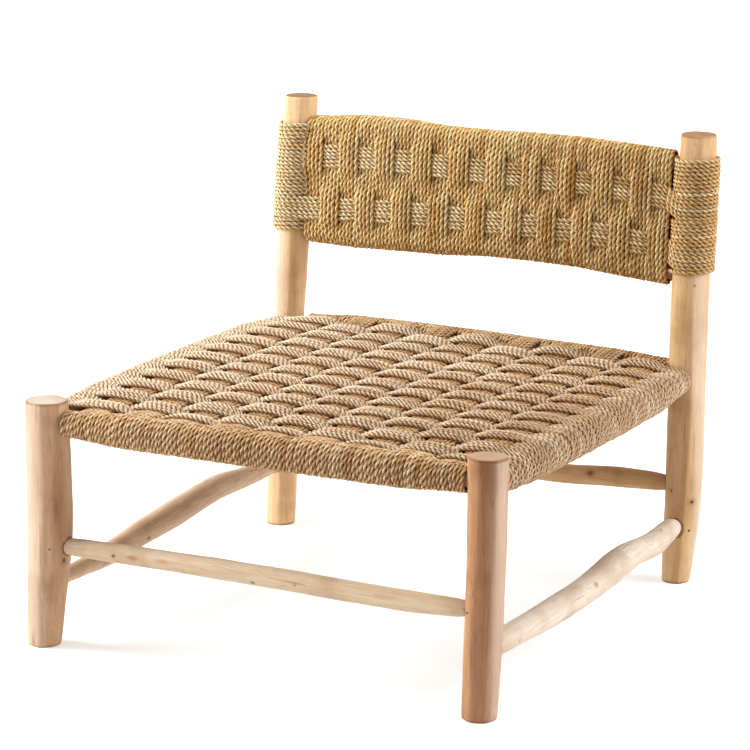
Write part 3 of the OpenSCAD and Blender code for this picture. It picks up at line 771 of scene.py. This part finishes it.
def back_plane_y(z):
    """Y of the back's middle plane, and of the posts' axes, at a height."""
    slope = (back_top.middle[1] - back_bottom.middle[1]) / (back_top.middle[2] - back_bottom.middle[2])
    return back_bottom.middle[1] + slope * (z - back_bottom.middle[2])


def band_height(band, x):
    return bend_at(back_share(x), band)


def group_x(group):
    """Middle of an upright group."""
    even = panel_x[0] + panel_width * (group + 0.5) / back_groups
    return even + np.interp(group, group_places, group_shifts) * mm


def crossing(z, height):
    """1 where an upright rope crosses a band, 0 away from it."""
    return ease((32 * mm - np.abs(z - height)) / (17 * mm))


def upright_rope(group, k):
    """A closed loop round both rails of the back, woven with the two bands."""
    middle = k - (group_ropes - 1) / 2
    x0 = group_x(group + middle / group_ropes)
    bottom = rail_point(back_bottom, x0, bottom_bends)
    top = rail_point(back_top, x0, top_bends)
    up = unit(top - bottom)
    out = unit(np.cross(up, (1, 0, 0)))
    front = -out if out[1] > 0 else out
    share = np.linspace(0.03, 0.97, 60)
    z = bottom[2] + (top[2] - bottom[2]) * share
    swing = crossing(z, band_height(upper_band, x0)) - crossing(z, band_height(lower_band, x0))
    if group % 2:
        swing = -swing
    bulge = swing * np.where(swing > 0, over_bulge, under_bulge) * (1 - 0.07 * middle ** 2)
    spread = middle * np.clip(swing, 0, 1) * 0.45 * mm
    if group == 0:
        spread = spread - max(1 - k, 0) * 3 * mm * near(np.abs(z - 512 * mm), 60 * mm)
    run = bottom + (top - bottom) * share[:, None]
    shift = np.array([1, 0, 0]) * (spread + uneven(60, 0.2 * mm))[:, None]
    face = run + front * (back_cover + bulge)[:, None] + shift
    width = panel_width / back_groups / group_ropes
    cast = np.array([panel_x[0] + width * (group * group_ropes + k + 0.5) - x0, 0, 0])
    rear = (run - front * (back_cover + swing * rear_bulge)[:, None] + shift + cast)[::-1]
    turn = half_turn(8, 172)[:, None]
    part = ease(turn / math.pi)
    arc = back_cover * (np.cos(turn) * front + np.sin(turn) * up)
    return np.vstack([face, top + arc + part * cast, rear, bottom - arc + (1 - part) * cast])


def rear_swell(share):
    """Upright ropes are thicker behind, so that no light comes through."""
    return 1.07 + 0.15 * ease((share - 0.42) / 0.08) * ease((0.94 - share) / 0.08)


def post_ring(rings, z):
    """Middle and radius of a post at a height."""
    places = [middle[2] for middle, _ in rings]
    middle = [np.interp(z, places, [ring[0][i] for ring in rings]) for i in (0, 1)]
    return np.array(middle), float(np.interp(z, places, [radius for _, radius in rings]))


def round_post(middle, radius, turn, z):
    return np.column_stack([middle[0] + radius * np.cos(turn), middle[1] + radius * np.sin(turn), z])


def band_loop(band, k, upper):
    """A rope of a band: through the front of the back, round the right post,
    through the rear of the back and round the left post."""
    rise = (k - (band_ropes - 1) / 2) * band_pitch
    x = np.linspace(panel_x[0] + 1 * mm, panel_x[1] - 1 * mm, 300)
    group = np.interp(x, [group_x(g) for g in range(back_groups)], range(back_groups))
    wave = square_wave(group + upper)
    rear_wave = square_wave(back_share(x) * back_groups - 0.5 + upper)
    z = band_height(band, x) + rise + uneven(300, slack)
    front = np.column_stack([x, back_plane_y(z) - back_cover - wave * band_wave, z])
    rear = np.column_stack([x, back_plane_y(z) + back_cover + rear_wave * band_wave, z])[::-1]
    bends = []
    for word, turn, end in (("right", half_turn(236, 484, 30), -1), ("left", half_turn(56, 304, 30), 0)):
        height = z[end] - band_drop[word]
        middle, radius = post_ring(leg_rings["rear_%s_post" % word], height)
        radius = radius + rope_radius + 0.3 * mm
        bends.append(round_post(middle, radius, turn, np.full(len(turn), height)))
    path = resample(np.vstack([front, bends[0], rear, bends[1]]), 1.5 * mm, True)[0]
    for _ in range(10):
        path = (np.roll(path, 1, 0) + 2 * path + np.roll(path, -1, 0)) / 4
    return path


def post_turn(rings, height, tilt):
    """One turn of rope round a post, a little out of level."""
    z = height + tilt * np.cos(full_turn) + uneven(len(full_turn), 0.12 * mm)
    middle, radius = post_ring(rings, height)
    radius = radius + rope_radius + (0.2 + rng.uniform(0, 0.4)) * mm
    return round_post(middle, radius, full_turn, z)


def weave_back():
    back = rope_finish("back_rope", 0.9, (1.0, 0.82, 0.44), (0.93, 0.60, 0.22), (0.48, 0.21, 0.03),
                       (0.65, 1.0))
    band = rope_finish("band_rope", 1.1, (1.0, 0.88, 0.58), (1.0, 0.72, 0.35), (0.60, 0.31, 0.075),
                       (0.75, 0.65))
    for first, last, word in ((0, 10, "left"), (10, 20, "right")):
        ropes = Ropes()
        for group in range(first, last):
            for k in range(group_ropes):
                ropes.add(upright_rope(group, k), (-1, 0, 0), "upright", closed=True, swell=rear_swell)
        nodes = ["back_uprights"] if word == "left" else []
        ropes.build("back_uprights_" + word, back, "back_rope", nodes)
    for heights, upper, node in ((upper_band, 1, "back_upper_band"), (lower_band, 0, "back_lower_band")):
        ropes = Ropes()
        for k in range(band_ropes):
            ropes.add(band_loop(heights, k, upper), (0, 0, 1), "band", closed=True)
        ropes.build(node + "_ropes", band, "back_rope", [node])
    half = band_ropes / 2 * band_pitch
    for word, end, low, high in windings:
        held = [heights[end] * mm - band_drop[word] for heights in (lower_band, upper_band)]
        ropes = Ropes()
        for start, stop in ((low, held[0] - half), (held[0] + half, held[1] - half), (held[1] + half, high)):
            count = round((stop - start) / winding_pitch)
            for i in range(count):
                height = start + (stop - start) * (i + 0.5) / count
                turn = post_turn(leg_rings["rear_%s_post" % word], height, 1.2 * mm)
                ropes.add(turn, (0, 0, 1), "band", closed=True)
        ropes.build(word + "_post_winding", band, "back_rope", [word + "_post_wrap"])


# Branches

def stick(name, rings, axis, sides=28):
    """A peeled branch: a circle drawn out through rings, which are (middle,
    radius), then smoothed and made a little uneven."""
    rings = [(tuple(middle), float(radius)) for middle, radius in rings]
    square = math.radians(90)
    bpy.ops.object.select_all(action="DESELECT")
    bpy.ops.mesh.primitive_circle_add(
        vertices=sides, radius=rings[0][1], fill_type="NGON", location=rings[0][0],
        rotation=((0, square, 0), (square, 0, 0), (0, 0, 0))[axis])
    piece = bpy.context.object
    piece.name = name
    bpy.ops.object.transform_apply()
    bpy.ops.object.mode_set(mode="EDIT")
    bpy.ops.mesh.select_all(action="SELECT")
    for (before, r0), (after, r1) in zip(rings, rings[1:]):
        step = Vector(after) - Vector(before)
        bpy.ops.mesh.extrude_region_move(TRANSFORM_OT_translate={"value": step})
        bpy.ops.transform.resize(value=[r1 / r0] * 3, center_override=after)
    bpy.ops.mesh.select_all(action="SELECT")
    bpy.ops.mesh.normals_make_consistent()
    bpy.ops.object.mode_set(mode="OBJECT")
    smooth = piece.modifiers.new("smooth", "SUBSURF")
    smooth.levels = smooth.render_levels = 2
    bpy.ops.object.modifier_apply(modifier="smooth")
    for size, strength in ((70 * mm, 1.6 * mm), (22 * mm, 0.5 * mm)):
        clouds = bpy.data.textures.new(name, "CLOUDS")
        clouds.noise_scale = size
        bumps = piece.modifiers.new("bumps", "DISPLACE")
        bumps.texture = clouds
        bumps.texture_coords = "LOCAL"
        bumps.strength = strength
        bpy.ops.object.modifier_apply(modifier="bumps")
    bpy.ops.object.shade_smooth_by_angle(angle=math.radians(40))
    return piece


def dress(piece, material, node):
    piece.data.materials.append(material)
    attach(piece, "root")
    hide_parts(node)


# Wood colours: pale, tan and deep
peach = ((0.79, 0.53, 0.33), (0.62, 0.36, 0.19), (0.42, 0.20, 0.085))
russet = ((0.66, 0.38, 0.21), (0.47, 0.235, 0.11), (0.29, 0.12, 0.05))
golden = ((0.80, 0.53, 0.28), (0.66, 0.39, 0.18), (0.45, 0.23, 0.09))
cream = ((0.86, 0.68, 0.49), (0.74, 0.53, 0.34), (0.52, 0.32, 0.18))
honey = ((0.91, 0.64, 0.37), (0.78, 0.485, 0.24), (0.55, 0.29, 0.125))
sand = ((0.84, 0.62, 0.43), (0.71, 0.48, 0.30), (0.49, 0.28, 0.15))
ash = ((0.90, 0.78, 0.66), (0.79, 0.63, 0.49), (0.57, 0.39, 0.26))

# Each leg's wood, the colour of its cut top, its long flats left by the peeling knife
# as bearings and half widths in degrees, and its marks: kind, height, bearing, half
# width and half height in mm and degrees, and strength
# The paler marks on the side of each leg that faces a lamp are painted highlight
legs = {
    "front_left_leg": (peach, (0.72, 0.59, 0.48), ((-105, 25), (-53, 25), (60, 30), (150, 28)), (
        ("painted_lit_side", 150, -112, 14, 420, 0.35), ("streak", 150, -34, 13, 300, 0.35),
        ("streak", 180, -40, 9, 75, 0.45), ("streak", 175, -42, 4, 20, 0.5),
        ("streak", 60, -45, 8, 45, 0.35), ("knot", 196, -50, 1.0, 9, 0.45),
        ("knot", 111, -17, 3, 4, 0.8), ("knot", 6, -104, 1.4, 8, 0.7))),
    "front_right_leg": (russet, (0.58, 0.38, 0.25), ((-21, 24), (-71, 25), (-125, 26), (90, 30)), (
        ("painted_lit_side", 150, -18, 13, 420, 0.35), ("streak", 165, -76, 16, 260, 0.8),
        ("streak", 286, -52, 7, 26, 0.5), ("knot", 299, -77, 0.9, 9, 0.7), ("knot", 259, -50, 1.6, 9, 0.35),
        ("knot", 153, -103, 1.5, 8, 0.5), ("knot", 8, -80, 1.3, 8, 0.8), ("knot", 299, -51, 1.0, 5, 0.5),
        ("swirl", 153, -85, 4, 7, 0.5), ("swirl", 60, -60, 5, 30, 0.3), ("swirl", 230, -84, 3, 40, 0.3))),
    "rear_left_post": (honey, (0.34, 0.17, 0.08), ((-95, 26), (-35, 28), (60, 30)), (
        ("painted_lit_side", 300, -120, 14, 700, 0.5), ("streak", 330, -45, 5, 60, 0.3),
        ("knot", 120, -60, 2.0, 3.0, 0.6), ("knot", 566, -100, 1.4, 1.6, 0.6))),
    "rear_right_post": (golden, (0.36, 0.185, 0.08), ((-30, 28), (-88, 28), (100, 30)), (
        ("painted_lit_side", 260, -20, 15, 700, 0.35), ("streak", 150, -75, 9, 150, 0.3),
        ("streak", 120, -40, 9, 30, 0.4), ("knot", 110, -38, 3.8, 3.4, 1.0),
        ("knot", 571, -79, 1.5, 1.6, 0.9), ("knot", 391, -57, 1.5, 1.8, 0.9),
        ("knot", 123, -112, 1.8, 1.9, 1.0), ("knot", 440, -30, 1.6, 14, 0.3),
        ("knot", 300, -75, 1.2, 22, 0.3))),
}

# Each stretcher's axis, wood and marks: kind, share of the length from the left or
# front end, degrees above level on the outer side, length and width in mm, and strength
bars = {
    "front_stretcher": (0, cream, (
        ("knot", 0.148, 0, 2.2, 1.6, 0.9), ("swirl", 0.195, 5, 9, 3.5, 0.8),
        ("swirl", 0.27, 10, 10, 3, 0.5), ("knot", 0.49, -32, 2.4, 1.8, 0.8),
        ("knot", 0.593, 0, 1.8, 1.2, 0.6), ("swirl", 0.8, 20, 16, 3, 0.4))),
    "rear_stretcher": (0, golden, (
        ("knot", 0.8, 25, 4.2, 3.4, 1.0), ("swirl", 0.8, 25, 14, 5, 0.4), ("swirl", 0.3, 20, 20, 4, 0.3))),
    "left_stretcher": (1, sand, (
        ("knot", 0.34, -10, 2.8, 2, 0.9), ("swirl", 0.5, 30, 18, 4, 0.3), ("swirl", 0.75, 20, 14, 4, 0.3))),
    "right_stretcher": (1, ash, (
        ("knot", 0.50, 32, 2.4, 1.9, 0.7), ("swirl", 0.50, 32, 8, 4, 0.4), ("swirl", 0.1, -10, 6, 3, 0.5),
        ("knot", 0.88, 72, 1.8, 1.3, 0.8), ("swirl", 0.7, 20, 12, 4, 0.25))),
}
leg_rings = {name: ring_list(name, 2, 20, 16 * mm) for name in legs}
bar_rings = {name: ring_list(name, bar[0], 16, 9.5 * mm) for name, bar in bars.items()}

# Depth of the flats as a share of a true flat, and their twist
flat_depth = 0.42
flat_twist, twist_length = 0.09, 55 * mm

# Depth below a leg's sawn top and how much narrower its rings are there
saw_edge = ((9 * mm, 0), (2.6 * mm, 0.2 * mm), (0.9 * mm, 0.9 * mm), (0, 2.6 * mm))

# A stretcher's tenon: its radius, how far it ends inside the CAD's, and its neck
tenon_radius = 8.5 * mm
tenon_inset = 4 * mm
neck_share = 0.93

# Lift of the right stretcher at shares of its length, in mm. Its rear tip is lifted
# more, and is thinner.
right_lift = ((0, 0.45, 0.6, 0.7, 0.9, 1), (0, -1.5, -0.5, 3.5, 4, 4.5))
tip_lift = np.array([0, 0, 2 * mm])
tip_share = 0.82


def leg_spot(name, height, bearing):
    """A point on a leg's surface at a height and a compass bearing from +X."""
    middle, radius = post_ring(leg_rings[name], height)
    angle = math.radians(bearing)
    return (middle[0] + radius * math.cos(angle), middle[1] + radius * math.sin(angle), height)


def socket_marks(name):
    """The dark gap where a stretcher enters a leg."""
    marks = []
    for bar, rings in bar_rings.items():
        for (spot, size), (inner, _) in ((rings[0], rings[2]), (rings[-1], rings[-3])):
            middle, radius = post_ring(leg_rings[name], spot[2])
            away = np.linalg.norm(spot[:2] - middle)
            if away > 3 * radius:
                continue
            spot = spot + unit(spot - inner) * (away - radius)
            size = size * 0.98
            if bar == "right_stretcher" and spot[1] > 0:
                size = size * 0.74
                spot = spot + 3 * tip_lift
            marks.append(("socket", tuple(spot), [size] * 3, 0.7))
    return marks


def press_flats(piece, name, flats):
    """Presses the long flats into a leg, a little twisted on the way up, and keeps
    its foot flat on the floor."""
    points = np.empty(len(piece.data.vertices) * 3, np.float32)
    piece.data.vertices.foreach_get("co", points)
    points = points.reshape(-1, 3).astype(float)
    axis = np.array([middle for middle, _ in leg_rings[name]])
    middle = np.column_stack([np.interp(points[:, 2], axis[:, 2], axis[:, i]) for i in (0, 1)])
    away = points[:, :2] - middle
    bearing = np.arctan2(away[:, 1], away[:, 0]) + flat_twist * np.sin(points[:, 2] / twist_length)
    for centre, half in np.radians(flats):
        off = (bearing - centre + np.pi) % (2 * np.pi) - np.pi
        depth = 1 - math.cos(half) / np.cos(np.clip(off, -half, half))
        away *= 1 - flat_depth * depth[:, None]
    points[:, :2] = middle + away
    points[:, 2] = np.maximum(points[:, 2], 0)
    piece.data.vertices.foreach_set("co", points.astype(np.float32).ravel())
    piece.data.update()


def build_legs():
    for name, (tint, cut, flats, places) in legs.items():
        rings = leg_rings[name]
        foot, foot_radius = rings[0]
        top, top_radius = rings[-1][0], rings[-2][1]
        rings = [(foot, foot_radius * 0.9)] + rings[:-2]
        rings += [(top - np.array([0, 0, below]), top_radius - inset) for below, inset in saw_edge]
        piece = stick(name + "_branch", rings + [(top, top_radius * 0.7)], 2)
        press_flats(piece, name, flats)
        marks = [(kind, leg_spot(name, height * mm, bearing), (wide * mm, wide * mm, tall * mm), strength)
                 for kind, height, bearing, wide, tall, strength in places]
        finish = wood(name + "_wood", 2, tint, (top, top_radius, cut), marks + socket_marks(name))
        dress(piece, finish, name)


def bar_mark(rings, axis, kind, share, rise, length, width, strength):
    """A mark on a stretcher: on the front side of those that run across, and on
    the right side of those that run back."""
    places = [middle[axis] for middle, _ in rings]
    at = places[0] + (places[-1] - places[0]) * share
    spot = np.array([np.interp(at, places, [middle[i] for middle, _ in rings]) for i in range(3)])
    radius = np.interp(at, places, [radius for _, radius in rings])
    rise = math.radians(rise)
    spot += radius * np.array([math.cos(rise) * axis, -math.cos(rise) * (1 - axis), math.sin(rise)])
    size = [width * mm] * 3
    size[axis] = length * mm
    return kind, tuple(spot), size, strength


def build_stretchers():
    for name, (axis, tint, places) in bars.items():
        rings = list(bar_rings[name])
        if name == "right_stretcher":
            span = rings[-1][0][1] - rings[0][0][1]
            lifts = [np.interp((m[1] - rings[0][0][1]) / span, *right_lift) * mm for m, _ in rings]
            rings = [(m + np.array([0, 0, lift]), r) for (m, r), lift in zip(rings, lifts)]
        tenons = []
        for (last, _), (inner, _), limit in ((rings[0], rings[1], 0), (rings[-1], rings[-2], 1)):
            reach = abs(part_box(name)[limit][axis] - last[axis]) - tenon_inset
            end = last + unit(last - inner) * reach
            tenons.append((last * 0.45 + end * 0.55, end))
        (neck0, end0), (neck1, end1) = tenons
        if name == "right_stretcher":
            rings[-1] = (rings[-1][0] + tip_lift, rings[-1][1] * tip_share)
            neck1 = neck1 + 1.5 * tip_lift
        rings = [(end0, tenon_radius), (neck0, rings[0][1] * neck_share)] + rings
        rings += [(neck1, rings[-1][1] * neck_share), (end1, tenon_radius)]
        piece = stick(name + "_branch", rings, axis, 20)
        marks = [bar_mark(rings, axis, *mark) for mark in places]
        dress(piece, wood(name + "_wood", axis, tint, marks=marks), name)


def hidden_rail(rail, rings, tenon, finish):
    """A branch hidden under the rope, with a tenon at both ends."""
    axis = rail.axis
    start, end = np.array(rings[0][0]), np.array(rings[-1][0])
    start[axis], end[axis] = rail.low[axis] + 2 * mm, rail.high[axis] - 2 * mm
    rings = [(start, tenon)] + rings + [(end, tenon)]
    dress(stick(rail.node + "_branch", rings, axis, 14), finish[axis], rail.node)


def build_rails():
    finish = [wood("rail_wood_%d" % axis, axis, russet) for axis in (0, 1)]
    for rail in (front_rail, rear_rail, left_rail, right_rail):
        rings = []
        for at in np.linspace(*(free_y if rail.axis else free_x), 11):
            middle = list(rail.middle)
            middle[rail.axis] = at
            middle[2] = float(side_axis(rail, at) if rail.axis else cross_axis(at, middle[1]))
            radius = side_radius(at) if rail.axis else cross_radius(at)
            rings.append((middle, radius - rope_radius - 0.8 * mm))
        hidden_rail(rail, rings, 9 * mm, finish)
    for rail, bends in ((back_top, top_bends), (back_bottom, bottom_bends)):
        rings = [(rail_point(rail, x, bends), rail.radius - 0.3 * mm) for x in np.linspace(*panel_x, 13)]
        hidden_rail(rail, rings, 7.4 * mm, finish)


def finish_nails():
    """The sunk nails keep their CAD shape."""
    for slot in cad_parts["stretcher_nails"].material_slots:
        slot.material = steel_finish()


# Room

surround_light = 0.38
floor_glow = 0.45


def add_room():
    """A white floor that keeps a faint shadow, and a white surround."""
    graph = Graph(bpy.data.materials.new("floor"))
    white = graph.blend(graph.length(graph.place()).step(0.7, 3.0), (floor_glow,) * 3, (1, 1, 1))
    glow = graph.blend((graph.ray("Camera") + graph.ray("Glossy")).clip(), (0, 0, 0), white)
    graph.set({"Base Color": (0.86, 0.86, 0.86), "Roughness": 0.9, "Emission Color": glow,
               "Emission Strength": 1})
    bpy.ops.mesh.primitive_plane_add(size=14, location=(0, 0, 0))
    floor = bpy.context.object
    floor.name = "floor"
    floor.data.materials.append(graph.owner)
    world = bpy.data.worlds.new("surround")
    scene.world = world
    graph = Graph(world, "Background")
    seen = graph.ray("Camera").math("MAXIMUM", graph.ray("Glossy"))
    strength = graph.node("ShaderNodeMapRange", {}, {"Value": seen, "To Min": surround_light})
    graph.set({"Color": (1, 1, 1), "Strength": strength})


scene.view_settings.view_transform = "Standard"
add_camera()
add_lamp("left_light", (-2.6, -0.9, 1.5), (0, 0, 0.3), 1.5, 108)
add_lamp("right_light", (2.6, 0.9, 1.5), (0, 0, 0.3), 1.5, 60)
add_lamp("top_light", (-0.3, 0.2, 3.0), (0, 0, 0.2), 2.0, 20)
add_room()
build_legs()
build_stretchers()
build_rails()
finish_nails()
weave_seat()
weave_back()
